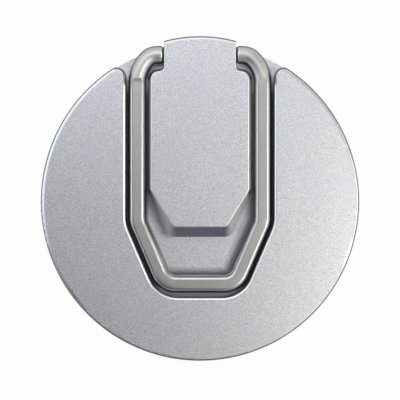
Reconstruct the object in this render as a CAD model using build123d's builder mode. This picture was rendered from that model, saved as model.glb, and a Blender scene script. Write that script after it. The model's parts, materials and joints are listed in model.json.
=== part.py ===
from build123d import *
import os
from math import cos, degrees, radians, sin, sqrt, tan

# Round wireless charging stand in millimetres.
# A machined metal puck holds the coil and magnets, and a folding bail on its back is the
# stand. Z points up and away from the phone. The origin is the middle of the contact face
# that the phone sits on, the hinge lies towards +Y and the power inlet towards -Y.

# Body: a shallow metal cup whose back carries a raised horseshoe round an open recess.
body_radius = 29.0
recess_depth = 3.4
floor_thickness = 1.0
roof_thickness = 0.9
rim_wall = 1.5
recess_wall = 1.2
tip_round = 1.6
face_edge_round = 0.45
base_edge_chamfer = 0.3
cutter_radius = 1.0

# Bail: one round bar bent to a U, with a flat milled along the side that shows when folded.
bar_radius = 1.64
leg_half_spacing = 11.45
hinge_rim_inset = 2.2
crossbar_rim_inset = 14.0
taper_length = 11.36
taper_angle = 23.3
leg_bend_radius = 3.5
corner_bend_radius = 3.3
elbow_tight_radius = 2.6
elbow_wide_radius = 6.3
elbow_tight_angle = 46.0
barrel_length = 0.9
barrel_edge_round = 0.2
flat_depth = 0.3
flat_edge_round = 0.6
flat_hinge_distance = 4.3
flat_ramp_length = 0.9
flat_ramp_rise = 0.16
bail_floor_gap = 0.21

# Gaps round the folded bail.
recess_side_gap = 0.46
recess_end_gap = 0.86
tongue_side_gap = 0.2
hinge_side_gap = 0.37

# Tongue: the plate between the legs, with a neck that carries the hinge.
neck_hinge_reach = 3.3
neck_crest_radius = 25.0
shoulder_hinge_drop = 3.1
shoulder_round_share = 0.4
side_flare = 0.7
end_flare = 1.9
tongue_end_gap = 8.5
tongue_taper_length = 8.5
face_taper_angle = 31.9
face_corner_round = 0.9
foot_corner_round = 2.0
tongue_edge_round = 0.18

# Hinge parts inside the neck.
axle_radius = 0.7
axle_grip = 1.35
axle_play = 0.3
running_clearance = 0.03
fixed_clearance = 0.02
bush_wall = 0.32
bush_flange_width = 0.42
bush_flange_thickness = 0.3
clip_half_width = 2.4
clip_thickness = 0.3
clip_tail = 1.9
clip_mouth_angle = 60.0
clip_pocket_clearance = 0.1

# Screws that hold the tongue to the floor of the recess.
tongue_screw_radius = 0.8
tongue_screw_head_radius = 1.5
tongue_screw_reach = 2.4
tongue_screw_spacing = 5.2
tongue_screw_shoulder_inset = 4.0
screw_cone_angle = 90.0
screw_socket_radius = 0.45
screw_socket_depth = 0.4
thread_clearance = 0.03

# Front: the plastic cover let into the rim, with the soft pad that touches the phone.
pad_thickness = 0.6
pad_pocket_depth = 0.3
pad_rim_inset = 2.4
pad_edge_round = 0.15
cover_thickness = 1.1
cover_wall = 0.9
cover_clearance = 0.05
tape_thickness = 0.1

# Magnet ring on its steel shunt, counted inwards from the bore.
carrier_rim_clearance = 0.1
carrier_outer_wall = 0.4
magnet_width = 4.0
carrier_inner_wall = 0.7
magnet_count = 16
magnet_rib_width = 0.6
magnet_height = 1.4
magnet_clearance = 0.05
shunt_edge_inset = 0.2

# Coil stack under the recess floor, inside the magnet ring.
ferrite_ring_clearance = 0.4
coil_width = 11.0
coil_turns = 11
coil_height = 0.8
coil_groove = 0.25
film_thickness = 0.1
film_overhang = 0.3
ferrite_overhang = 0.4
ferrite_height = 0.6
thermal_pad_inset = 4.4
thermal_pad_thickness = 0.5
lead_radius = 0.25
lead_spacing = 0.9
lead_bend_radius = 0.6
lead_lift = 0.05
lead_slot_margin = 0.25
lead_edge_inset = 1.2

# Inlet: a mid-mount power socket facing -Y.
usb_width = 8.94
usb_height = 3.16
usb_length = 7.3
usb_corner_radius = 1.28
usb_wall = 0.3
usb_rim_inset = 0.7
usb_floor_gap = 0.12
usb_port_clearance = 0.12
usb_wing_width = 1.7
usb_wing_length = 3.5
usb_wing_inset = 2.8
usb_wing_thickness = 0.3
usb_blade_width = 6.69
usb_blade_thickness = 0.7
usb_blade_inset = 0.8
usb_base_length = 2.0
usb_fit_clearance = 0.05
usb_contact_count = 12
usb_contact_pitch = 0.5
usb_contact_width = 0.25
usb_contact_length = 3.4
usb_contact_thickness = 0.05
usb_contact_tip_inset = 0.6

# Circuit board in the hollow of the horseshoe.
board_thickness = 0.8
board_edge_clearance = 0.4
board_wall_clearance = 0.3
board_tip_reach = 21.0
board_socket_clearance = 0.15
boss_radius = 1.4
boss_edge_inset = 6.1
boss_reach = 17.0
board_screw_radius = 0.6
board_screw_reach = 1.1
board_screw_head_radius = 1.15
board_screw_head_height = 0.6
chip_size = 5.0
chip_height = 0.85
chip_edge_inset = 9.1
chip_reach = 3.0
inductor_size = 6.0
inductor_corner = 0.9
inductor_height = 1.2
transistor_size = 2.6
transistor_height = 0.75
transistor_edge_inset = 6.1
transistor_reach = 10.5
transistor_pitch = 4.0
capacitor_length = 2.0
capacitor_width = 1.25
capacitor_height = 0.9
capacitor_socket_gap = 4.0
capacitor_pitch = 2.4
capacitor_depth = 6.7
capacitor_pairs = 3

# Levels, from the contact face upwards.
rim_base = pad_thickness - pad_pocket_depth
cover_top = rim_base + cover_thickness
cover_seat = cover_top + tape_thickness
magnet_top = cover_top + magnet_height
coil_bottom = cover_top + film_thickness
coil_top = coil_bottom + coil_height
ferrite_top = coil_top + ferrite_height
floor_bottom = ferrite_top + thermal_pad_thickness
floor_top = floor_bottom + floor_thickness
body_height = floor_top + recess_depth
roof_bottom = body_height - roof_thickness
hinge_z = floor_top + bail_floor_gap + bar_radius
flat_z = hinge_z + bar_radius - flat_depth

# Places along Y.
hinge_y = body_radius - hinge_rim_inset
crossbar_y = crossbar_rim_inset - body_radius
leg_bend_y = crossbar_y + taper_length
shoulder_y = hinge_y - shoulder_hinge_drop
foot_end_y = crossbar_y + tongue_end_gap
face_end_y = foot_end_y + end_flare
tongue_taper_y = foot_end_y + tongue_taper_length

# The elbow turns a quarter in two arcs, a tight one at the barrel and a wide one at the leg.
tight_turn = radians(elbow_tight_angle)
elbow_width = elbow_tight_radius * sin(tight_turn) + elbow_wide_radius * (1 - sin(tight_turn))
elbow_start_x = leg_half_spacing - elbow_width
barrel_end_x = elbow_start_x - barrel_length
neck_half = barrel_end_x - hinge_side_gap
foot_half = leg_half_spacing - bar_radius - tongue_side_gap
face_half = foot_half - side_flare

# Radii of the body's bores and of what sits in them.
bore_radius = body_radius - rim_wall
cover_bore_radius = body_radius - cover_wall
cover_radius = cover_bore_radius - cover_clearance
pad_radius = body_radius - pad_rim_inset
carrier_outer_radius = bore_radius - carrier_rim_clearance
magnet_outer_radius = carrier_outer_radius - carrier_outer_wall
magnet_inner_radius = magnet_outer_radius - magnet_width
carrier_inner_radius = magnet_inner_radius - carrier_inner_wall
ferrite_radius = carrier_inner_radius - ferrite_ring_clearance
coil_outer_radius = ferrite_radius - ferrite_overhang
coil_inner_radius = coil_outer_radius - coil_width
board_radius = bore_radius - board_edge_clearance

# Screw places on the recess floor.
tongue_screw_rows = (tongue_taper_y, shoulder_y - tongue_screw_shoulder_inset)
tongue_screw_places = [
    (side * tongue_screw_spacing, row) for side in (-1, 1) for row in tongue_screw_rows
]

# Board level, with the socket let into the board's thickness.
usb_axis_z = floor_bottom + usb_floor_gap + usb_height / 2
board_bottom = usb_axis_z - board_thickness / 2
board_top = board_bottom + board_thickness
usb_front_y = usb_rim_inset - body_radius
usb_rear_y = usb_front_y + usb_length
boss_x = board_radius - boss_edge_inset
boss_y = crossbar_y + boss_reach
boss_places = [(-boss_x, boss_y), (boss_x, boss_y)]


def recess_outline(side_gap, end_gap):
    """Closed outline round the folded bail, open past the rim at the hinge end."""
    turn = radians(taper_angle)
    half = leg_half_spacing + bar_radius + side_gap
    bend_y = leg_bend_y - (bar_radius + side_gap) * tan(turn / 2)
    end_y = crossbar_y - bar_radius - end_gap
    end_half = half - (bend_y - end_y) * tan(turn)
    open_y = body_radius + bar_radius
    bend_round = leg_bend_radius + bar_radius + side_gap
    corner_round = corner_bend_radius + bar_radius + end_gap
    FilletPolyline(
        (half, open_y),
        (half, bend_y),
        (end_half, end_y),
        (-end_half, end_y),
        (-half, bend_y),
        (-half, open_y),
        radius=[0, bend_round, corner_round, corner_round, bend_round, 0],
        close=True,
    )


def tongue_outline(half, shoulder, end, turn_angle, corner_round):
    """Closed outline of the tongue: crest, neck, rounded shoulders, sides and tapered end."""
    end_half = half - (tongue_taper_y - end) * tan(radians(turn_angle))
    inner_round = (face_half - neck_half) * shoulder_round_share
    outer_round = (half - neck_half - inner_round) * 0.98
    crest_drop = neck_crest_radius - sqrt(neck_crest_radius**2 - neck_half**2)
    crest_y = hinge_y + neck_hinge_reach
    side_y = crest_y - crest_drop
    FilletPolyline(
        (neck_half, side_y),
        (neck_half, shoulder),
        (half, shoulder),
        (half, tongue_taper_y),
        (end_half, end),
        (-end_half, end),
        (-half, tongue_taper_y),
        (-half, shoulder),
        (-neck_half, shoulder),
        (-neck_half, side_y),
        radius=[
            inner_round,
            outer_round,
            corner_round,
            corner_round,
            corner_round,
            corner_round,
            outer_round,
            inner_round,
        ],
    )
    ThreePointArc((-neck_half, side_y), (0, crest_y), (neck_half, side_y))


def ring_sector(inner_radius, outer_radius, angle):
    """Flat piece of a ring, centred on +X."""
    with BuildSketch() as sector:
        with BuildLine():
            inner = CenterArc((0, 0), inner_radius, -angle / 2, angle)
            outer = CenterArc((0, 0), outer_radius, -angle / 2, angle)
            Line(inner @ 0, outer @ 0)
            Line(inner @ 1, outer @ 1)
        make_face()
    return sector.sketch


# Rear housing: the cup, the horseshoe, the bores from the front and the inlet slot.
with BuildPart() as rear_housing:
    with BuildSketch(Plane.XY.offset(rim_base)):
        Circle(body_radius)
    extrude(amount=floor_top - rim_base)
    chamfer(rear_housing.faces().sort_by(Axis.Z)[0].edges(), base_edge_chamfer)
    with BuildSketch(Plane.XY.offset(floor_top)) as horseshoe:
        Circle(body_radius)
        with BuildLine():
            recess_outline(recess_side_gap, recess_end_gap)
        make_face(mode=Mode.SUBTRACT)
        fillet(horseshoe.vertices().group_by(Axis.Y)[-1], tip_round)
    extrude(amount=recess_depth)
    fillet(rear_housing.faces().sort_by(Axis.Z)[-1].edges(), face_edge_round)
    with BuildSketch(Plane.XY.offset(rim_base)):
        Circle(cover_bore_radius)
    extrude(amount=cover_seat - rim_base, mode=Mode.SUBTRACT)
    with BuildSketch(Plane.XY.offset(cover_seat)):
        Circle(bore_radius)
    extrude(amount=floor_bottom - cover_seat, mode=Mode.SUBTRACT)
    with BuildSketch(Plane.XY.offset(floor_bottom)) as hollow:
        Circle(bore_radius)
        with BuildLine():
            recess_outline(recess_side_gap + recess_wall, recess_end_gap + recess_wall)
        make_face(mode=Mode.SUBTRACT)
        fillet(hollow.vertices().group_by(Axis.Y)[-1], cutter_radius)
    extrude(amount=roof_bottom - floor_bottom, mode=Mode.SUBTRACT)
    with BuildSketch(Plane.XY.offset(board_top)):
        with Locations(*boss_places):
            Circle(boss_radius)
    extrude(amount=roof_bottom - board_top)
    with BuildSketch(Plane.XY.offset(board_top)):
        with Locations(*boss_places):
            Circle(board_screw_radius + thread_clearance)
    extrude(amount=board_screw_reach + thread_clearance, mode=Mode.SUBTRACT)
    with BuildSketch(Plane.XZ.offset(body_radius)):
        with Locations((0, usb_axis_z)):
            RectangleRounded(
                usb_width + 2 * usb_port_clearance,
                usb_height + 2 * usb_port_clearance,
                usb_corner_radius + usb_port_clearance,
            )
    extrude(amount=-2 * rim_wall, mode=Mode.SUBTRACT)
    for screw_x, screw_y in tongue_screw_places:
        with Locations(Plane(origin=(screw_x, screw_y, floor_bottom), z_dir=(0, 0, -1))):
            CounterSinkHole(
                tongue_screw_radius + thread_clearance,
                tongue_screw_head_radius + thread_clearance,
                depth=floor_thickness,
                counter_sink_angle=screw_cone_angle,
            )
rear_housing.part.label = "rear_housing"

# Bail: half of the bar swept from the barrel to the middle of the crossbar, then mirrored.
with BuildPart() as bail:
    with BuildLine(Plane.XY.offset(hinge_z)) as bar_path:
        barrel_line = Line((barrel_end_x, hinge_y), (elbow_start_x, hinge_y))
        tight_arc = JernArc(
            barrel_line @ 1, barrel_line % 1, elbow_tight_radius, -elbow_tight_angle
        )
        wide_arc = JernArc(
            tight_arc @ 1, tight_arc % 1, elbow_wide_radius, elbow_tight_angle - 90
        )
        crossbar_half = leg_half_spacing - taper_length * tan(radians(taper_angle))
        elbow_end_y = (wide_arc @ 1).Y
        FilletPolyline(
            (leg_half_spacing, elbow_end_y),
            (leg_half_spacing, leg_bend_y),
            (crossbar_half, crossbar_y),
            (0, crossbar_y),
            radius=[leg_bend_radius, corner_bend_radius],
        )
    with BuildSketch(Plane(origin=(barrel_end_x, hinge_y, hinge_z), z_dir=(1, 0, 0))):
        Circle(bar_radius)
    sweep(path=bar_path.wire())
    barrel_edge = bail.faces().filter_by(Axis.X).sort_by(Axis.Y)[-1].edges()
    fillet(barrel_edge, barrel_edge_round)
    with BuildSketch(Plane.YZ) as flat_cutter:
        flat_start_y = hinge_y - flat_hinge_distance
        cutter_end_y = crossbar_y - 2 * bar_radius
        cutter_top_z = hinge_z + 2 * bar_radius
        Polygon(
            (cutter_end_y, flat_z),
            (flat_start_y - flat_ramp_length, flat_z),
            (flat_start_y, flat_z + flat_ramp_rise),
            (flat_start_y, cutter_top_z),
            (cutter_end_y, cutter_top_z),
            align=None,
        )
    extrude(amount=leg_half_spacing + 2 * bar_radius, mode=Mode.SUBTRACT)
    flat_face = bail.faces().filter_by(Axis.Z).sort_by(Axis.Z)[-1]
    flat_rims = flat_face.edges().sort_by(Axis.X)[1:].sort_by(Axis.Y)[:-1]
    fillet(flat_rims, flat_edge_round)
    with BuildSketch(Plane(origin=(barrel_end_x, hinge_y, hinge_z), z_dir=(1, 0, 0))):
        Circle(axle_radius + fixed_clearance)
    extrude(amount=2 * axle_grip + axle_play, mode=Mode.SUBTRACT)
    mirror(about=Plane.YZ)
bail.part.label = "bail"

# Tongue: lofted from the wide foot on the recess floor to the face, with the hinge bore,
# the pocket of the friction clip and the threaded holes of its screws.
clip_inner = axle_radius + fixed_clearance
clip_outer = clip_inner + clip_thickness
bush_outer = axle_radius + running_clearance + bush_wall
pocket_half = clip_half_width + clip_pocket_clearance
pocket_top = hinge_z + clip_outer + clip_pocket_clearance
pocket_front = hinge_y + clip_outer + clip_pocket_clearance
pocket_back = hinge_y - clip_tail - clip_pocket_clearance

with BuildPart() as hinge_tongue:
    with BuildSketch(Plane.XY.offset(floor_top)):
        with BuildLine():
            tongue_outline(
                foot_half, shoulder_y + side_flare, foot_end_y, taper_angle, foot_corner_round
            )
        make_face()
    with BuildSketch(Plane.XY.offset(body_height)):
        with BuildLine():
            tongue_outline(
                face_half, shoulder_y, face_end_y, face_taper_angle, face_corner_round
            )
        make_face()
    loft(ruled=True)
    fillet(hinge_tongue.faces().sort_by(Axis.Z)[-1].edges(), tongue_edge_round)
    with BuildSketch(Plane.YZ.offset(-neck_half)):
        with Locations((hinge_y, hinge_z)):
            Circle(bush_outer + fixed_clearance)
    extrude(amount=2 * neck_half, mode=Mode.SUBTRACT)
    with BuildSketch(Plane.YZ) as pocket:
        Polygon(
            (pocket_back, floor_top),
            (pocket_front, floor_top),
            (pocket_front, pocket_top),
            (pocket_back, pocket_top),
            align=None,
        )
    extrude(amount=pocket_half, both=True, mode=Mode.SUBTRACT)
    with BuildSketch(Plane.XY.offset(floor_top)):
        with Locations(*tongue_screw_places):
            Circle(tongue_screw_radius + thread_clearance)
    extrude(amount=tongue_screw_reach + thread_clearance, mode=Mode.SUBTRACT)
hinge_tongue.part.label = "hinge_tongue"

# Axle: the plain pin through the neck, held in both barrels of the bail.
with BuildPart() as hinge_axle:
    with BuildSketch(Plane.YZ):
        with Locations((hinge_y, hinge_z)):
            Circle(axle_radius)
    extrude(amount=barrel_end_x + axle_grip, both=True)
hinge_axle.part.label = "hinge_axle"


def hinge_bush(side):
    """Flanged bush from the clip pocket to the side of the neck that it fills."""
    with BuildPart() as bush:
        with BuildSketch(Plane.YZ.offset(side * pocket_half)):
            with Locations((hinge_y, hinge_z)):
                Circle(bush_outer)
        extrude(amount=side * (neck_half - pocket_half))
        with BuildSketch(Plane.YZ.offset(side * neck_half)):
            with Locations((hinge_y, hinge_z)):
                Circle(bush_outer + bush_flange_width)
        extrude(amount=side * bush_flange_thickness)
        with BuildSketch(Plane.YZ):
            with Locations((hinge_y, hinge_z)):
                Circle(axle_radius + running_clearance)
        extrude(amount=side * (neck_half + barrel_length), mode=Mode.SUBTRACT)
    return bush.part


with BuildPart() as hinge_bush_left:
    add(hinge_bush(-1))
hinge_bush_left.part.label = "hinge_bush_left"

with BuildPart() as hinge_bush_right:
    add(hinge_bush(1))
hinge_bush_right.part.label = "hinge_bush_right"

# Friction clip: a sprung curl round the axle whose foot stands on the recess floor.
with BuildPart() as friction_clip:
    with BuildSketch(Plane.YZ) as clip_curl:
        with Locations((hinge_y, hinge_z)):
            Circle(clip_outer)
            with Locations((-clip_tail / 2, -(clip_inner + clip_outer) / 2)):
                Rectangle(clip_tail, clip_thickness)
            foot_height = hinge_z - clip_inner - floor_top - fixed_clearance
            with Locations((-clip_tail, -clip_inner)):
                Rectangle(clip_thickness, foot_height, align=(Align.MIN, Align.MAX))
            Circle(clip_inner, mode=Mode.SUBTRACT)
            mouth_x = 2 * clip_outer * sin(radians(clip_mouth_angle))
            mouth_y = 2 * clip_outer * cos(radians(clip_mouth_angle))
            Polygon(
                (0, 0),
                (0, -2 * clip_outer),
                (mouth_x, -2 * clip_outer),
                (mouth_x, -mouth_y),
                align=None,
                mode=Mode.SUBTRACT,
            )
    extrude(amount=clip_half_width, both=True)
friction_clip.part.label = "friction_clip"

# Tongue screws: countersunk, driven from inside the cup.
with BuildPart() as tongue_screw:
    cone_height = tongue_screw_head_radius - tongue_screw_radius
    with BuildSketch(Plane.XZ):
        Polygon(
            (0, floor_bottom),
            (tongue_screw_head_radius, floor_bottom),
            (tongue_screw_radius, floor_bottom + cone_height),
            (tongue_screw_radius, floor_top + tongue_screw_reach),
            (0, floor_top + tongue_screw_reach),
            align=None,
        )
    revolve(axis=Axis.Z)
    with BuildSketch(Plane.XY.offset(floor_bottom)):
        RegularPolygon(screw_socket_radius, 6)
    extrude(amount=screw_socket_depth, mode=Mode.SUBTRACT)

with BuildPart() as tongue_screws:
    with Locations(*tongue_screw_places):
        add(tongue_screw.part)
tongue_screws.part.label = "tongue_screws"

# Front cover: plastic disc let into the rim, with a shallow pocket for the pad.
with BuildPart() as front_cover:
    with BuildSketch(Plane.XY.offset(rim_base)):
        Circle(cover_radius)
    extrude(amount=cover_thickness)
    with BuildSketch(Plane.XY.offset(rim_base)):
        Circle(pad_radius + cover_clearance)
    extrude(amount=pad_pocket_depth, mode=Mode.SUBTRACT)
front_cover.part.label = "front_cover"

# Contact pad: the soft disc that the phone touches.
with BuildPart() as contact_pad:
    with BuildSketch():
        Circle(pad_radius)
    extrude(amount=pad_thickness)
    fillet(contact_pad.faces().sort_by(Axis.Z)[0].edges(), pad_edge_round)
contact_pad.part.label = "contact_pad"

# Cover tape: the bond between the cover and its seat in the housing.
with BuildPart() as cover_tape:
    with BuildSketch(Plane.XY.offset(cover_top)):
        Circle(cover_radius)
        Circle(bore_radius, mode=Mode.SUBTRACT)
    extrude(amount=tape_thickness)
cover_tape.part.label = "cover_tape"

# Magnet ring: separate magnets in the pockets of a plastic carrier, under a steel shunt.
pocket_angle = 360 / magnet_count - degrees(magnet_rib_width / magnet_inner_radius)
magnet_angle = pocket_angle - 2 * degrees(magnet_clearance / magnet_inner_radius)
pocket_face = ring_sector(magnet_inner_radius, magnet_outer_radius, pocket_angle)
magnet_face = ring_sector(
    magnet_inner_radius + magnet_clearance, magnet_outer_radius - magnet_clearance, magnet_angle
)

with BuildPart() as magnet_carrier:
    with BuildSketch(Plane.XY.offset(cover_top)):
        Circle(carrier_outer_radius)
        Circle(carrier_inner_radius, mode=Mode.SUBTRACT)
        with PolarLocations(0, magnet_count):
            add(pocket_face, mode=Mode.SUBTRACT)
    extrude(amount=magnet_height)
magnet_carrier.part.label = "magnet_carrier"

with BuildPart() as ring_magnets:
    with BuildSketch(Plane.XY.offset(cover_top)):
        with PolarLocations(0, magnet_count):
            add(magnet_face)
    extrude(amount=magnet_height)
ring_magnets.part.label = "ring_magnets"

with BuildPart() as shunt_ring:
    with BuildSketch(Plane.XY.offset(magnet_top)):
        Circle(carrier_outer_radius - shunt_edge_inset)
        Circle(carrier_inner_radius + shunt_edge_inset, mode=Mode.SUBTRACT)
    extrude(amount=floor_bottom - magnet_top)
shunt_ring.part.label = "shunt_ring"

# Coil stack: film, coil, ferrite and thermal pad from the cover up to the recess floor.
lead_y = lead_edge_inset - coil_outer_radius
slot_half = lead_spacing + lead_radius + lead_slot_margin
slot_start_y = -coil_inner_radius + lead_slot_margin

with BuildPart() as insulator_film:
    with BuildSketch(Plane.XY.offset(cover_top)):
        Circle(coil_outer_radius + film_overhang)
    extrude(amount=film_thickness)
insulator_film.part.label = "insulator_film"

with BuildPart() as charging_coil:
    coil_pitch = (coil_outer_radius - coil_inner_radius) / coil_turns
    turn_points = []
    for turn in range(coil_turns):
        turn_start = coil_inner_radius + turn * coil_pitch
        turn_points.append((turn_start, coil_top - coil_groove))
        turn_points.append((turn_start + coil_pitch / 2, coil_top))
    turn_points.append((coil_outer_radius, coil_top - coil_groove))
    with BuildSketch(Plane.XZ):
        Polygon(
            (coil_outer_radius, coil_bottom),
            (coil_inner_radius, coil_bottom),
            *turn_points,
            align=None,
        )
    revolve(axis=Axis.Z)
    lead_start_z = coil_bottom + coil_height / 2
    lead_mid_z = coil_top + lead_lift + lead_radius
    inner_turn_y = -coil_inner_radius - coil_pitch
    with BuildLine() as inner_lead_path:
        FilletPolyline(
            (-lead_spacing, inner_turn_y, lead_start_z),
            (-lead_spacing, inner_turn_y, lead_mid_z),
            (-lead_spacing, lead_y, lead_mid_z),
            (-lead_spacing, lead_y, board_bottom),
            radius=[lead_radius * 1.2, lead_bend_radius],
        )
    with BuildSketch(Plane.XY.offset(lead_start_z)):
        with Locations((-lead_spacing, inner_turn_y)):
            Circle(lead_radius)
    sweep(path=inner_lead_path.wire())
    with BuildSketch(Plane.XY.offset(lead_start_z)):
        with Locations((lead_spacing, lead_y)):
            Circle(lead_radius)
    extrude(amount=board_bottom - lead_start_z)
charging_coil.part.label = "charging_coil"

with BuildPart() as ferrite_disc:
    with BuildSketch(Plane.XY.offset(coil_top)):
        Circle(ferrite_radius)
        with Locations((0, slot_start_y)):
            Rectangle(
                2 * slot_half,
                2 * ferrite_radius,
                align=(Align.CENTER, Align.MAX),
                mode=Mode.SUBTRACT,
            )
    extrude(amount=ferrite_height)
ferrite_disc.part.label = "ferrite_disc"

with BuildPart() as thermal_pad:
    with BuildSketch(Plane.XY.offset(ferrite_top)):
        Circle(ferrite_radius - thermal_pad_inset)
    extrude(amount=thermal_pad_thickness)
thermal_pad.part.label = "thermal_pad"

# Circuit board: follows the hollow of the horseshoe and is cut out round the socket.
with BuildPart() as circuit_board:
    with BuildSketch(Plane.XY.offset(board_bottom)):
        Circle(board_radius)
        with BuildLine():
            recess_outline(
                recess_side_gap + recess_wall + board_wall_clearance,
                recess_end_gap + recess_wall + board_wall_clearance,
            )
        make_face(mode=Mode.SUBTRACT)
        with Locations((0, crossbar_y + board_tip_reach)):
            Rectangle(
                2 * body_radius,
                body_radius,
                align=(Align.CENTER, Align.MIN),
                mode=Mode.SUBTRACT,
            )
        with Locations((0, usb_rear_y + board_socket_clearance)):
            Rectangle(
                usb_width + 2 * board_socket_clearance,
                body_radius,
                align=(Align.CENTER, Align.MAX),
                mode=Mode.SUBTRACT,
            )
        with Locations(*boss_places):
            Circle(board_screw_radius + thread_clearance, mode=Mode.SUBTRACT)
    extrude(amount=board_thickness)
circuit_board.part.label = "circuit_board"

# Board screws: pan heads under the board, threads in the housing's bosses.
with BuildPart() as board_screws:
    with BuildSketch(Plane.XY.offset(board_bottom)):
        with Locations(*boss_places):
            Circle(board_screw_radius)
    extrude(amount=board_thickness + board_screw_reach)
    with BuildSketch(Plane.XY.offset(board_bottom)):
        with Locations(*boss_places):
            Circle(board_screw_head_radius)
    extrude(amount=-board_screw_head_height)
    with BuildSketch(Plane.XY.offset(board_bottom - board_screw_head_height)):
        with Locations(*boss_places):
            RegularPolygon(screw_socket_radius, 6)
    extrude(amount=screw_socket_depth, mode=Mode.SUBTRACT)
board_screws.part.label = "board_screws"

# Socket: a drawn steel shell with two wings on the board, and a blade with its contacts.
with BuildPart() as usb_shell:
    with BuildSketch(Plane.XZ.offset(-usb_front_y)):
        with Locations((0, usb_axis_z)):
            RectangleRounded(usb_width, usb_height, usb_corner_radius)
            RectangleRounded(
                usb_width - 2 * usb_wall,
                usb_height - 2 * usb_wall,
                usb_corner_radius - usb_wall,
                mode=Mode.SUBTRACT,
            )
    extrude(amount=-usb_length)
    wing_middle_x = (usb_width - usb_wall + usb_wing_width) / 2
    with BuildSketch(Plane.XY.offset(board_top)):
        with Locations(
            (-wing_middle_x, usb_front_y + usb_wing_inset),
            (wing_middle_x, usb_front_y + usb_wing_inset),
        ):
            Rectangle(usb_wing_width, usb_wing_length, align=(Align.CENTER, Align.MIN))
    extrude(amount=usb_wing_thickness)
usb_shell.part.label = "usb_shell"

blade_front_y = usb_front_y + usb_blade_inset
with BuildPart() as usb_insulator:
    inner_shrink = 2 * (usb_wall + usb_fit_clearance)
    with BuildSketch(Plane.XZ.offset(-usb_rear_y)):
        with Locations((0, usb_axis_z)):
            RectangleRounded(
                usb_width - inner_shrink,
                usb_height - inner_shrink,
                usb_corner_radius - inner_shrink / 2,
            )
    extrude(amount=usb_base_length)
    with BuildSketch(Plane.XZ.offset(-usb_rear_y)):
        with Locations((0, usb_axis_z)):
            Rectangle(usb_blade_width, usb_blade_thickness)
    extrude(amount=usb_rear_y - blade_front_y)
usb_insulator.part.label = "usb_insulator"

with BuildPart() as usb_contacts:
    contact_middle_y = blade_front_y + usb_contact_tip_inset + usb_contact_length / 2
    with BuildSketch(Plane.XY.offset(usb_axis_z + usb_blade_thickness / 2)):
        with Locations((0, contact_middle_y)):
            with GridLocations(usb_contact_pitch, 1, usb_contact_count, 1):
                Rectangle(usb_contact_width, usb_contact_length)
    extrude(amount=usb_contact_thickness)
    mirror(about=Plane.XY.offset(usb_axis_z))
usb_contacts.part.label = "usb_contacts"

# Parts soldered to the top of the board, in rows counted from the bail's crossbar.
chip_x = board_radius - chip_edge_inset
chip_y = crossbar_y + chip_reach
with BuildPart() as controller_chip:
    with BuildSketch(Plane.XY.offset(board_top)):
        with Locations((-chip_x, chip_y)):
            Rectangle(chip_size, chip_size)
    extrude(amount=chip_height)
controller_chip.part.label = "controller_chip"

with BuildPart() as power_inductor:
    with BuildSketch(Plane.XY.offset(board_top)):
        with Locations((chip_x, chip_y)):
            RectangleRounded(inductor_size, inductor_size, inductor_corner)
    extrude(amount=inductor_height)
power_inductor.part.label = "power_inductor"

with BuildPart() as power_transistors:
    transistor_x = board_radius - transistor_edge_inset
    transistor_y = crossbar_y + transistor_reach
    with BuildSketch(Plane.XY.offset(board_top)):
        with Locations((-transistor_x, transistor_y), (transistor_x, transistor_y)):
            with GridLocations(transistor_pitch, 1, 2, 1):
                Rectangle(transistor_size, transistor_size)
    extrude(amount=transistor_height)
power_transistors.part.label = "power_transistors"

with BuildPart() as capacitors:
    capacitor_y = usb_front_y + capacitor_depth
    with BuildSketch(Plane.XY.offset(board_top)):
        for pair in range(capacitor_pairs):
            capacitor_x = usb_width / 2 + capacitor_socket_gap + pair * capacitor_pitch
            with Locations((-capacitor_x, capacitor_y), (capacitor_x, capacitor_y)):
                Rectangle(capacitor_width, capacitor_length)
    extrude(amount=capacitor_height)
capacitors.part.label = "capacitors"

os.makedirs("parts", exist_ok=True)
for piece in (
    rear_housing,
    hinge_tongue,
    bail,
    hinge_axle,
    hinge_bush_left,
    hinge_bush_right,
    friction_clip,
    tongue_screws,
    front_cover,
    contact_pad,
    cover_tape,
    magnet_carrier,
    ring_magnets,
    shunt_ring,
    insulator_film,
    charging_coil,
    ferrite_disc,
    thermal_pad,
    circuit_board,
    board_screws,
    usb_shell,
    usb_insulator,
    usb_contacts,
    controller_chip,
    power_inductor,
    power_transistors,
    capacitors,
):
    export_step(piece.part, f"parts/{piece.part.label}.step")
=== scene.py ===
import json
import math

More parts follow.
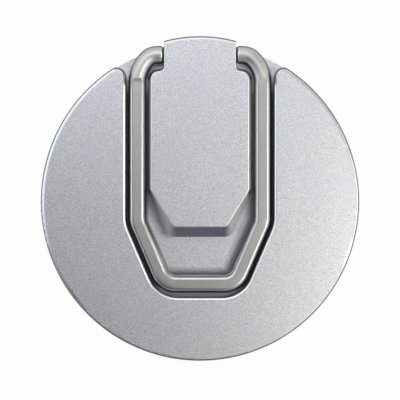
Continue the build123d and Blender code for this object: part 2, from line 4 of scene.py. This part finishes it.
import bpy
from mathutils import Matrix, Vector

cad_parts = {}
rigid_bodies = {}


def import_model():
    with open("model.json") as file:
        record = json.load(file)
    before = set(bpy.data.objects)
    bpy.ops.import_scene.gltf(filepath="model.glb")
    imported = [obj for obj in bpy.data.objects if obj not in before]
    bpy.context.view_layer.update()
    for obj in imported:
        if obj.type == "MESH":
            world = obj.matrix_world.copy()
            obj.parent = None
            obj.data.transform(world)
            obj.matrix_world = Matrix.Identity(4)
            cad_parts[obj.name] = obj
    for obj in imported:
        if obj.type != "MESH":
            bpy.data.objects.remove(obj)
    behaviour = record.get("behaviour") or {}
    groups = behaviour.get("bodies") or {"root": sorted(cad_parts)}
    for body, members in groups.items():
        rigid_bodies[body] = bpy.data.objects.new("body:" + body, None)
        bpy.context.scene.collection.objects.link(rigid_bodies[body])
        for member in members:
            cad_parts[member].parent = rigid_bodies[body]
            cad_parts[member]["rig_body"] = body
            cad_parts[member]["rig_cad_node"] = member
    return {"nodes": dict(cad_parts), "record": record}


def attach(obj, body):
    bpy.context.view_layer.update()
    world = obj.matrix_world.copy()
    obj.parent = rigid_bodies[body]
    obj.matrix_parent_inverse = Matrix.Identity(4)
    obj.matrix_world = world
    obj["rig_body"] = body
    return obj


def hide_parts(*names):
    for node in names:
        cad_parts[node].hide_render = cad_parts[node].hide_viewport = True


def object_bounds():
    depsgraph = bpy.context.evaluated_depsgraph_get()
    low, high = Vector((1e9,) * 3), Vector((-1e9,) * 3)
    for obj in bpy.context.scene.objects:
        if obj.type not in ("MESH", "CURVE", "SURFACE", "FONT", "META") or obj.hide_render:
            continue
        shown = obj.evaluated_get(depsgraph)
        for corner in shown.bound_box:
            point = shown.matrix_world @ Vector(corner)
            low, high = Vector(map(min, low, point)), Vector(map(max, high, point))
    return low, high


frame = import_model()
cad_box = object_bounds()
record = frame["record"]

# The photograph's framing, in metres: it shows this width at the height of the top face.
top_face = cad_box[1].z
photo_width = 0.0727
camera_rise = 0.29
view_centre_y = 0.00028

# The room: its dim light, and how high a mirrored ray may point and still meet white.
ambient = 0.04
horizon_foot = 0.18
horizon_top = 0.42

# The floor, in metres: its width, how far it lies below the part, and between which
# distances from the middle it turns from grey to white in gloss.
floor_width = 4.0
floor_gap = 0.00015
floor_grey_radius = 0.030
floor_white_radius = 0.075
floor_whiteness = 0.97

# The recess, in metres: its floor, and where its open end begins.
recess_floor = 0.0044
recess_mouth_y = 0.0205

# Where the bail lies on the recess floor, in metres: the inner side of its legs and
# crossbar, and how far the painted shade beside them reaches.
seat_half = 0.0098
seat_bend_y = -0.0036
seat_end_y = -0.0133
seat_start_y = 0.0195
taper_turn = math.radians(23.3)
left_leg_reach = 0.0004
right_leg_reach = 0.0025
crossbar_reach = 0.0014

# The tongue's foot, in metres: half its straight width, and a point on its left slanted
# side, that side's turn from upright, and how far the painted shadow beside it reaches.
bevel_half = 0.0044
flare_x = -0.0067
flare_y = -0.00517
flare_turn = math.radians(27.0)
flare_reach = 0.0015
foot_end_y = -0.0064

# The bail, in metres: its bar's middle height, the ends of its barrels, and its elbows.
bar_middle = 0.00625
barrel_end = 0.00691
elbow_start_y = 0.0212

# Where the horseshoe's arms begin to round off, and their inner side, in metres.
arm_end_y = 0.0208
arm_inner_x = 0.0130

# The round outer edges of the housing and of the tongue's hinge end, in metres.
rim_radius = 0.029
crest_radius = 0.025
crest_y = 0.0301

# A blasted piece's round edge, in metres inward from its outermost line: the painted highlight
# on its lip, which only the side toward the hinge gets, and the painted dark reflection line
# outside it.
lip_start = 0.00070
lip_end = 0.00038
dark_rim_start = 0.00030
dark_rim_end = 0.00024
lit_slope = 0.17
lit_start = -0.0165

# How far below the top face a rounded edge may reach, in metres.
housing_edge_depth = 0.0006
tongue_edge_depth = 0.0002

# Faces that meet at less than this angle are shaded as one curve.
smooth_angle = math.radians(28.0)


class Value:
    """A shader socket that Python's own operators can do sums with."""

    def __init__(self, shader, socket):
        self.shader = shader
        self.socket = socket

    def __add__(self, other):
        return self.shader.math("ADD", self, other)

    def __radd__(self, other):
        return self.shader.math("ADD", other, self)

    def __sub__(self, other):
        return self.shader.math("SUBTRACT", self, other)

    def __rsub__(self, other):
        return self.shader.math("SUBTRACT", other, self)

    def __mul__(self, other):
        return self.shader.math("MULTIPLY", self, other)

    def __rmul__(self, other):
        return self.shader.math("MULTIPLY", other, self)

    def __truediv__(self, other):
        return self.shader.math("DIVIDE", self, other)

    def __rtruediv__(self, other):
        return self.shader.math("DIVIDE", other, self)


class Shader:
    """The node tree of one material, or of the world, with short ways to add to it."""

    def __init__(self, owner, output="ShaderNodeOutputMaterial"):
        owner.use_nodes = True
        self.owner = owner
        self.tree = owner.node_tree
        self.tree.nodes.clear()
        self.output = self.tree.nodes.new(output)

    def add(self, kind, settings=None, inputs=None, out=0):
        """Adds a node: its settings first, then values or links for its sockets."""
        node = self.tree.nodes.new(kind)
        for key, value in (settings or {}).items():
            setattr(node, key, value)
        for key, value in (inputs or {}).items():
            if isinstance(value, Value):
                self.tree.links.new(value.socket, node.inputs[key])
            else:
                node.inputs[key].default_value = value
        return Value(self, node.outputs[out])

    def place(self):
        """Where a point is on the object, in metres."""
        return self.add("ShaderNodeTexCoord", out="Object")

    def noise(self, size, detail=2.0, roughness=0.5, place=None):
        """Noise from 0 to 1 whose blotches are about size metres across."""
        return self.add(
            "ShaderNodeTexNoise",
            {"noise_dimensions": "3D"},
            {"Vector": place or self.place(), "Scale": 1.0 / size,
             "Detail": detail, "Roughness": roughness},
        )

    def spread(self, value, low, high):
        """Noise stretched so that its usual middle range runs from low to high."""
        return self.add(
            "ShaderNodeMapRange",
            {"clamp": True},
            {"Value": value, "From Min": 0.3, "From Max": 0.7, "To Min": low, "To Max": high},
        )

    def ramp(self, value, low, high):
        """0 at low and 1 at high, straight between them."""
        return self.add(
            "ShaderNodeMapRange",
            {"clamp": True},
            {"Value": value, "From Min": low, "From Max": high, "To Min": 0.0, "To Max": 1.0},
        )

    def math(self, operation, first, second):
        return self.add("ShaderNodeMath", {"operation": operation}, {0: first, 1: second})

    def absolute(self, value):
        return self.math("ABSOLUTE", value, 0.0)

    def least(self, first, second):
        return self.math("MINIMUM", first, second)

    def distance(self, x, y):
        """How far from the origin a point with these two coordinates is."""
        return self.math("SQRT", x * x + y * y, 0.0)

    def enclosure(self, reach, only_local):
        """1 in the open, and less where surfaces within reach close a point in."""
        return self.add(
            "ShaderNodeAmbientOcclusion", {"only_local": only_local, "samples": 8},
            {"Distance": reach}, out="AO")

    def part_of(self, vector, axis):
        return self.add("ShaderNodeSeparateXYZ", None, {"Vector": vector}, out=axis)

    def blend(self, factor, first, second):
        return self.add(
            "ShaderNodeMix",
            {"data_type": "RGBA"},
            {0: factor, 6: first, 7: second},
            out=2,
        )

    def bump(self, height, depth, strength=1.0, normal=None):
        links = {"Height": height, "Distance": depth, "Strength": strength}
        if normal is not None:
            links["Normal"] = normal
        return self.add("ShaderNodeBump", None, links)

    def surface(self, **sockets):
        """The principled surface, with constants on its own sockets."""
        inputs = {key.replace("_", " "): value for key, value in sockets.items()}
        return self.add("ShaderNodeBsdfPrincipled", None, inputs)

    def finish(self, surface):
        self.tree.links.new(surface.socket, self.output.inputs["Surface"])
        return self.owner


def select_only(piece):
    for thing in list(bpy.context.selected_objects):
        thing.select_set(False)
    piece.select_set(True)
    bpy.context.view_layer.objects.active = piece


def smooth_piece(node, name, body, material):
    """A joined and smooth shaded piece that stands for a CAD node."""
    source = frame["nodes"][node]
    piece = source.copy()
    piece.data = source.data.copy()
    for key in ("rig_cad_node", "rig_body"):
        if key in piece:
            del piece[key]
    piece.parent = None
    piece.name = name
    piece.data.name = name
    bpy.context.scene.collection.objects.link(piece)
    select_only(piece)
    bpy.ops.mesh.customdata_custom_splitnormals_clear()
    bpy.ops.object.mode_set(mode="EDIT")
    bpy.ops.mesh.select_all(action="SELECT")
    bpy.ops.mesh.remove_doubles(threshold=1e-6)
    bpy.ops.object.mode_set(mode="OBJECT")
    bpy.ops.object.shade_smooth_by_angle(angle=smooth_angle)
    level = piece.modifiers.new("level_faces", "WEIGHTED_NORMAL")
    level.keep_sharp = True
    level.weight = 100
    bpy.ops.object.modifier_apply(modifier=level.name)
    finish_with(piece, material)
    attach(piece, body)
    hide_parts(node)
    return piece


def finish_with(piece, material):
    piece.data.materials.clear()
    piece.data.materials.append(material)
    for face in piece.data.polygons:
        face.material_index = 0


def frosted_grain(shader):
    """The fine speckle of bead blasting: its height and its colour."""
    grain = shader.noise(0.00014, detail=1.0, roughness=0.6)
    cloud = shader.noise(0.006, detail=2.0)
    speckle = shader.blend(
        shader.spread(grain, 0.0, 1.0), (0.485, 0.49, 0.55, 1), (0.95, 0.955, 1.0, 1))
    clouded = shader.blend(shader.spread(cloud, 0.0, 0.3), speckle, (0.708, 0.722, 0.835, 1))
    return grain, clouded


def blasted_surface(shader, grain, colour, radius, outer_radius):
    """The blasted finish, with a painted highlight line and a painted dark reflection line at
    its round rim.
    """
    place = shader.place()
    height = shader.part_of(place, "Z")
    upper = shader.ramp(height, top_face - 0.0010, top_face - 0.0007)
    toward_hinge = shader.part_of(place, "Y") - shader.part_of(place, "X") * lit_slope
    lit_half = shader.ramp(toward_hinge, lit_start, lit_start + 0.0050)
    # Painted highlight: the lip is lighter only on the half toward the hinge, where the light
    # falls.
    lip = (
        shader.ramp(radius, outer_radius - lip_start, outer_radius - lip_end)
        * upper * lit_half)
    # Painted dark reflection: a dark line along the outermost rim.
    painted_dark_rim = (
        shader.ramp(radius, outer_radius - dark_rim_start, outer_radius - dark_rim_end) * upper)
    painted_rim_highlight = lip * (1.0 - painted_dark_rim)
    colour = shader.blend(painted_rim_highlight, colour, (0.90, 0.90, 0.92, 1))
    colour = shader.blend(painted_dark_rim, colour, (0.22, 0.22, 0.245, 1))
    roughness = shader.spread(grain, 0.36, 0.46) - (painted_rim_highlight + painted_dark_rim) * 0.10
    rounding = shader.bump(1.0 - lip, 0.00013)
    return shader.finish(shader.surface(
        Base_Color=colour, Metallic=0.94, Roughness=roughness,
        Normal=shader.bump(grain, 0.000012, 0.9, rounding)))


def blasted_plate():
    """Bead-blasted aluminium of the tongue."""
    shader = Shader(bpy.data.materials.new("blasted_plate"))
    grain, colour = frosted_grain(shader)
    place = shader.place()
    x = shader.part_of(place, "X")
    y = shader.part_of(place, "Y")
    from_crest_centre = shader.distance(x, y - (crest_y - crest_radius))
    return blasted_surface(shader, grain, colour, from_crest_centre, crest_radius)


def clear_of_bail(shader, x, y):
    """0 where the bail lies on the recess floor, and 1 past the reach of the painted shade
    beside it.
    """
    beside_leg = seat_half - shader.absolute(x)
    beside_taper = (
        beside_leg * math.cos(taper_turn) + (y - seat_bend_y) * math.sin(taper_turn))
    reach = (
        shader.ramp(x, -0.006, 0.008) * (right_leg_reach - left_leg_reach) + left_leg_reach)
    clear_of_legs = shader.least(beside_leg, beside_taper) / reach
    clear_of_crossbar = (y - seat_end_y) / crossbar_reach
    return shader.ramp(shader.least(clear_of_legs, clear_of_crossbar), -0.2, 1.0)


def flare_shade(shader, x, y):
    """The soft painted shadow on the recess floor along the left slanted side of the tongue's
    foot.
    """
    beside_flare = (
        (flare_x - x) * math.cos(flare_turn) + (flare_y - y) * math.sin(flare_turn))
    return (
        shader.ramp(beside_flare, flare_reach, 0.0001)
        * shader.ramp(x, -bevel_half, -bevel_half - 0.001)
        * shader.ramp(y, foot_end_y - 0.0007, foot_end_y + 0.0005))


def recess_brightness(shader, x, y, z, radius):
    """1 outside the recess floor, and less on it beside the bail and the tongue's foot, where
    shade is painted.
    """
    on_floor = (
        shader.ramp(z, recess_floor + 0.0006, recess_floor + 0.0004)
        * shader.ramp(y, seat_start_y + 0.002, seat_start_y)
        * shader.ramp(radius, rim_radius - 0.0025, rim_radius - 0.0035))
    clear = clear_of_bail(shader, x, y) * (1.0 - flare_shade(shader, x, y) * 0.7)
    return 1.0 - on_floor * (1.0 - clear)


def blasted_cup():
    """The same blasting on the housing, with painted shade in its corners and gaps and on the
    recess floor beside the bail.
    """
    shader = Shader(bpy.data.materials.new("blasted_cup"))
    grain, colour = frosted_grain(shader)
    place = shader.place()
    x = shader.part_of(place, "X")
    y = shader.part_of(place, "Y")
    z = shader.part_of(place, "Z")
    radius = shader.distance(x, y)
    # Painted shade: corners and narrow gaps turn dark from the housing's own ambient
    # occlusion.
    corner = shader.enclosure(0.003, only_local=True)
    at_mouth = shader.ramp(y, recess_mouth_y, recess_mouth_y + 0.0025)
    open_share = shader.math("MAXIMUM", shader.ramp(corner, 0.35, 0.88), at_mouth)
    past_crossbar = shader.ramp(y, seat_end_y - 0.0019, seat_end_y - 0.0030)
    # The painted shade's colour: near black in the gaps, lighter past the crossbar.
    shade = shader.blend(past_crossbar, (0.085, 0.09, 0.12, 1), (0.34, 0.35, 0.41, 1))
    brightness = open_share * recess_brightness(shader, x, y, z, radius)
    colour = shader.blend(brightness, shade, colour)
    return blasted_surface(shader, grain, colour, radius, rim_radius)


def bright_edge():
    """The brighter rounding along the blasted edges, partly worn metal and partly painted
    highlight, with painted shade at the arms' ends.
    """
    shader = Shader(bpy.data.materials.new("bright_edge"))
    grain = shader.noise(0.00030, detail=3.0, roughness=0.6)
    # Lighter than the blasted face: partly worn metal, partly a painted highlight.
    worn_and_painted_highlight = shader.blend(
        shader.spread(grain, 0.0, 1.0), (0.80, 0.80, 0.83, 1), (0.90, 0.90, 0.92, 1))
    place = shader.place()
    outward = shader.absolute(shader.part_of(place, "X"))
    # Painted shade: the edges turn dark at the ends of the horseshoe's arms.
    arm_end = (
        shader.ramp(shader.part_of(place, "Y"), arm_end_y, arm_end_y + 0.0009)
        * shader.ramp(outward, arm_inner_x - 0.001, arm_inner_x - 0.0005))
    return shader.finish(shader.surface(
        Base_Color=shader.blend(arm_end, worn_and_painted_highlight, (0.20, 0.20, 0.23, 1)), Metallic=1.0,
        Roughness=shader.spread(grain, 0.30, 0.36), Normal=shader.bump(grain, 0.000004, 0.3)))


def milled_bevel_painted_shade_and_light():
    """The tongue's bevels, milled after the blasting and smoothest at its foot, with painted
    shade on the foot and painted light on the slanted sides.
    """
    shader = Shader(bpy.data.materials.new("milled_bevel_painted_shade_and_light"))
    grain = shader.noise(0.00014, detail=2.0, roughness=0.6)
    speckle = shader.spread(grain, 0.0, 1.0)
    outward = shader.absolute(shader.part_of(shader.place(), "X"))
    side = shader.ramp(outward, bevel_half, bevel_half + 0.0012)
    # Painted shade on the foot's bevel, painted light on the slanted side bevels.
    foot_painted_shade = shader.blend(speckle, (0.48, 0.485, 0.60, 1), (0.58, 0.585, 0.71, 1))
    side_painted_light = shader.blend(speckle, (0.88, 0.88, 0.89, 1), (0.97, 0.97, 0.98, 1))
    return shader.finish(shader.surface(
        Base_Color=shader.blend(side, foot_painted_shade, side_painted_light), Metallic=0.96 - side * 0.78,
        Roughness=shader.spread(grain, 0.24, 0.32) + side * 0.16,
        Normal=shader.bump(grain, 0.000006, 0.5)))


def shaded_steel(shader, steel, above, elbow):
    """The bail's steel with painted shade on its low side: on the legs only where they are
    closed in.
    """
    enclosed = shader.ramp(shader.enclosure(0.006, only_local=False), 0.95, 0.78)
    low_leg = shader.ramp(above, 0.00118, 0.00070)
    low_elbow = shader.ramp(above, 0.00132, 0.00055)
    # Painted shade on the low side of the legs, where closed in, and of the elbows.
    shaded = shader.blend(low_leg * enclosed, steel, (0.12, 0.12, 0.125, 1))
    return shader.blend(low_elbow * elbow, shaded, (0.17, 0.17, 0.175, 1))


def satin_metal():
    """Satin steel of the bail: finely drawn, and softer on its round elbows, with a painted
    highlight by the barrels' ends and painted shade on its low side.
    """
    shader = Shader(bpy.data.materials.new("satin_metal"))
    place = shader.place()
    elbow = shader.ramp(shader.part_of(place, "Y"), elbow_start_y, elbow_start_y + 0.0012)
    drawn = shader.add(
        "ShaderNodeMapping", None, {"Vector": place, "Scale": (1.0, 0.06, 1.0)})
    lines = shader.noise(0.00012, detail=3.0, place=drawn)
    drawn_steel = shader.blend(
        shader.spread(lines, 0.0, 1.0), (0.60, 0.60, 0.605, 1), (0.66, 0.66, 0.66, 1))
    steel = shader.blend(elbow, drawn_steel, (0.60, 0.60, 0.597, 1))
    above = shader.part_of(place, "Z") - bar_middle
    outward = shader.absolute(shader.part_of(place, "X"))
    # Painted highlight: a near-white band by the ends of the barrels, on their upper side.
    painted_barrel_highlight = (
        shader.ramp(outward, barrel_end + 0.00024, barrel_end + 0.00015)
        * shader.ramp(above, 0.0009, 0.0013) * elbow)
    colour = shader.blend(
        painted_barrel_highlight, shaded_steel(shader, steel, above, elbow), (0.97, 0.97, 0.97, 1))
    satin = shader.spread(shader.noise(0.004, detail=2.0), 0.28, 0.34)
    return shader.finish(shader.surface(
        Base_Color=colour, Metallic=1.0, Roughness=satin + (elbow - painted_barrel_highlight) * 0.12,
        Normal=shader.bump(lines, 0.000003, 0.4)))


def plain_finish(name, dark, pale, roughness, metallic=0.0, grain=0.0004, coat=0.0):
    """A finish with its own grain, between two shades."""
    shader = Shader(bpy.data.materials.new(name))
    noise = shader.noise(grain, detail=3.0, roughness=0.6)
    cloud = shader.noise(grain * 20, detail=2.0)
    shade = shader.spread(noise * 0.7 + cloud * 0.3, 0.0, 1.0)
    colour = shader.blend(shade, dark + (1,), pale + (1,))
    rough = shader.spread(noise, roughness - 0.04, roughness + 0.05)
    return shader.finish(shader.surface(
        Base_Color=colour, Metallic=metallic, Roughness=rough, Coat_Weight=coat,
        Normal=shader.bump(noise, 0.00001, 0.5)))


def faces_aside(face):
    """Whether an arm's end face looks elsewhere than straight away from the middle."""
    at_arm = face.center.y > arm_end_y and abs(face.center.x) > arm_inner_x
    return at_arm and face.normal.xy.normalized().dot(face.center.xy.normalized()) < 0.99


def finish_edges(piece, edge, lowest, furthest):
    """Gives a blasted piece's rounded upper edges, inside its rim, the brighter edge material
    with its painted highlight.
    """
    piece.data.materials.append(edge)
    for face in piece.data.polygons:
        rounded = 0.15 < face.normal.z < 0.995 and face.center.z > lowest
        if rounded and (face.center.xy.length < furthest or faces_aside(face)):
            face.material_index = 1


def finish_bevels(piece, bevel, highest, hinge_end):
    """Gives the tongue's slanted sides, below its edges, the milled finish with its painted
    shade and light.
    """
    piece.data.materials.append(bevel)
    for face in piece.data.polygons:
        slanted = 0.2 < face.normal.z < 0.97 and face.center.z < highest
        if slanted and face.center.y < hinge_end:
            face.material_index = 2


def camera():
    """The photograph's view, straight down on the top face."""
    height = top_face + camera_rise
    bpy.ops.object.camera_add(location=(0, view_centre_y, height), rotation=(0, 0, 0))
    made = bpy.context.object
    made.data.sensor_width = 36.0
    made.data.lens = 36.0 * camera_rise / photo_width
    made.data.clip_start = 0.01
    made.data.clip_end = 10.0
    bpy.context.scene.camera = made


def shown_white(shader, mirrored):
    """How much of a backdrop is plain white: all to the camera, a share in gloss and glass."""
    seen = shader.add("ShaderNodeLightPath", out="Is Camera Ray")
    gloss = shader.add("ShaderNodeLightPath", out="Is Glossy Ray")
    through = shader.add("ShaderNodeLightPath", out="Is Transmission Ray")
    return seen + (gloss + through) * mirrored


def floor():
    """A pale floor that is white to the camera and in gloss, apart from under the object."""
    shader = Shader(bpy.data.materials.new("pale_floor"))
    away = shader.add(
        "ShaderNodeVectorMath", {"operation": "LENGTH"}, {0: shader.place()}, out="Value")
    clear = shader.ramp(away, floor_grey_radius, floor_white_radius)
    share = shown_white(shader, clear) * floor_whiteness
    paper = shader.add(
        "ShaderNodeBsdfDiffuse", None, {"Color": (0.80, 0.80, 0.80, 1), "Roughness": 0.5})
    white = shader.add("ShaderNodeEmission", None, {"Color": (1, 1, 1, 1), "Strength": 1.0})
    mixed = shader.add("ShaderNodeMixShader", None, {0: share, 1: paper, 2: white})
    bpy.ops.mesh.primitive_plane_add(
        size=floor_width, location=(0, 0, cad_box[0].z - floor_gap))
    plane = bpy.context.object
    plane.name = "floor"
    finish_with(plane, shader.finish(mixed))


def softbox(name, where, target, width, height, radiance, colour):
    """A rectangular lamp that faces a point, as bright as the radiance says."""
    lamp = bpy.data.lights.new(name, "AREA")
    lamp.shape = "RECTANGLE"
    lamp.size = width
    lamp.size_y = height
    lamp.energy = radiance * math.pi * width * height
    lamp.color = colour
    made = bpy.data.objects.new(name, lamp)
    bpy.context.scene.collection.objects.link(made)
    made.location = where
    aim = made.location - Vector(target)
    made.rotation_euler = aim.to_track_quat("Z", "Y").to_euler()


def lights():
    """Soft lamps all round: brightest near the right, cooler on the left."""
    middle = (0, 0, top_face)
    cool = (0.88, 0.925, 1.0)
    plain = (1.0, 1.0, 1.0)
    warm = (1.0, 0.982, 0.895)
    softbox("overhead", (-0.010, 0.034, 0.42), middle, 0.14, 0.16, 0.55, plain)
    softbox("near_right", (0.108, -0.028, 0.20), middle, 0.15, 0.09, 3.90, warm)
    softbox("near_back", (-0.025, 0.105, 0.20), middle, 0.16, 0.08, 2.15, plain)
    softbox("near_left", (-0.105, 0.05, 0.20), middle, 0.10, 0.08, 0.20, cool)
    softbox("near_front", (0.07, -0.10, 0.20), middle, 0.12, 0.07, 0.20, plain)
    softbox("right", (0.34, 0.10, 0.30), middle, 0.56, 0.24, 0.45, warm)
    softbox("left", (-0.33, 0.14, 0.30), middle, 0.46, 0.24, 1.45, cool)
    softbox("front", (0.24, -0.28, 0.30), middle, 0.30, 0.24, 0.45, plain)
    softbox("back", (0.0, 0.38, 0.30), middle, 0.45, 0.26, 1.00, plain)
    softbox("low_right", (0.45, 0.0, 0.12), middle, 0.40, 0.14, 1.40, warm)
    softbox("low_left", (-0.43, -0.10, 0.12), middle, 0.40, 0.14, 1.00, cool)


def surroundings():
    """A dim room, white behind the object: all of it to the camera, its low part in gloss."""
    shader = Shader(bpy.data.worlds.new("studio"), "ShaderNodeOutputWorld")
    sky = shader.add("ShaderNodeTexCoord", out="Generated")
    low = shader.ramp(shader.part_of(sky, "Z"), horizon_top, horizon_foot)
    white = shader.add("ShaderNodeBackground", None, {"Color": (1, 1, 1, 1), "Strength": 1.0})
    grey = shader.add(
        "ShaderNodeBackground", None, {"Color": (0.92, 0.95, 1.0, 1), "Strength": ambient})
    share = shown_white(shader, low)
    bpy.context.scene.world = shader.finish(
        shader.add("ShaderNodeMixShader", None, {0: share, 1: grey, 2: white}))


def inner_finishes():
    """The finishes of the smaller and inner pieces, under the names of their slots."""
    grey_steel = ((0.46, 0.46, 0.48), (0.60, 0.60, 0.62))
    black_resin = ((0.012, 0.012, 0.013), (0.035, 0.035, 0.037))
    metal = {"metallic": 1.0}
    looks = {
        "black_polymer": (*black_resin, 0.42, {}),
        "hardened_steel": (*grey_steel, 0.26, metal),
        "spring_steel": ((0.36, 0.36, 0.39), (0.50, 0.50, 0.52), 0.30, metal),
        "blackened_steel": (
            (0.06, 0.06, 0.065), (0.13, 0.13, 0.14), 0.38, {"metallic": 0.9}),
        "front_plastic": ((0.72, 0.72, 0.73), (0.79, 0.79, 0.80), 0.44, {"grain": 0.0003}),
        "soft_pad": ((0.78, 0.78, 0.78), (0.84, 0.84, 0.84), 0.66, {"grain": 0.00025}),
        "bond_tape": ((0.06, 0.06, 0.06), (0.12, 0.12, 0.12), 0.75, {}),
        "carrier_plastic": ((0.05, 0.05, 0.055), (0.09, 0.09, 0.10), 0.50, {}),
        "nickel_plate": ((0.66, 0.65, 0.62), (0.76, 0.75, 0.72), 0.16, metal),
        "shunt_steel": (*grey_steel, 0.34, metal),
        "clear_film": ((0.58, 0.50, 0.28), (0.70, 0.62, 0.40), 0.30, {"coat": 0.4}),
        "copper_wire": (
            (0.62, 0.26, 0.12), (0.78, 0.38, 0.20), 0.28, {"metallic": 1.0, "coat": 0.5}),
        "ferrite": ((0.045, 0.045, 0.05), (0.10, 0.10, 0.11), 0.55, {}),
        "thermal_rubber": ((0.30, 0.35, 0.44), (0.40, 0.45, 0.54), 0.70, {}),
        "board_laminate": ((0.015, 0.11, 0.045), (0.03, 0.19, 0.08), 0.34, {"coat": 0.3}),
        "socket_steel": ((0.58, 0.58, 0.59), (0.70, 0.70, 0.71), 0.24, metal),
        "gold_contact": ((0.82, 0.56, 0.18), (0.92, 0.68, 0.28), 0.20, metal),
        "chip_resin": (*black_resin, 0.48, {"grain": 0.0002}),
        "capacitor_ceramic": ((0.40, 0.27, 0.15), (0.52, 0.38, 0.24), 0.36, {}),
    }
    return {
        name: plain_finish(name, dark, pale, roughness, **more)
        for name, (dark, pale, roughness, more) in looks.items()
    }


def outer_metal():
    """The housing, the tongue and the bail, which the photograph shows."""
    edges = bright_edge()
    housing = smooth_piece(
        "rear_housing", "rear_housing_blasted", "base", blasted_cup())
    tongue = smooth_piece(
        "hinge_tongue", "hinge_tongue_blasted", "base", blasted_plate())
    inside_rim = rim_radius - 0.0006
    finish_edges(housing, edges, top_face - housing_edge_depth, inside_rim)
    finish_edges(tongue, edges, top_face - tongue_edge_depth, inside_rim)
    finish_bevels(tongue, milled_bevel_painted_shade_and_light(), top_face - tongue_edge_depth, seat_start_y)
    smooth_piece("bail", "bail_satin", "bail", satin_metal())


camera()
surroundings()
lights()
floor()
outer_metal()

finishes = inner_finishes()
slot_of_node = {part["node"]: part["material_slot"] for part in record["subparts"]}
for name in ("contact_pad", "front_cover", "usb_shell", "hinge_bush_left", "hinge_bush_right"):
    slot = slot_of_node[name]
    smooth_piece(name, name + "_outer", "base", finishes[slot])
for name, node in frame["nodes"].items():
    if not node.hide_render:
        finish_with(node, finishes[slot_of_node[name]])

bpy.context.scene.view_settings.view_transform = "Standard"
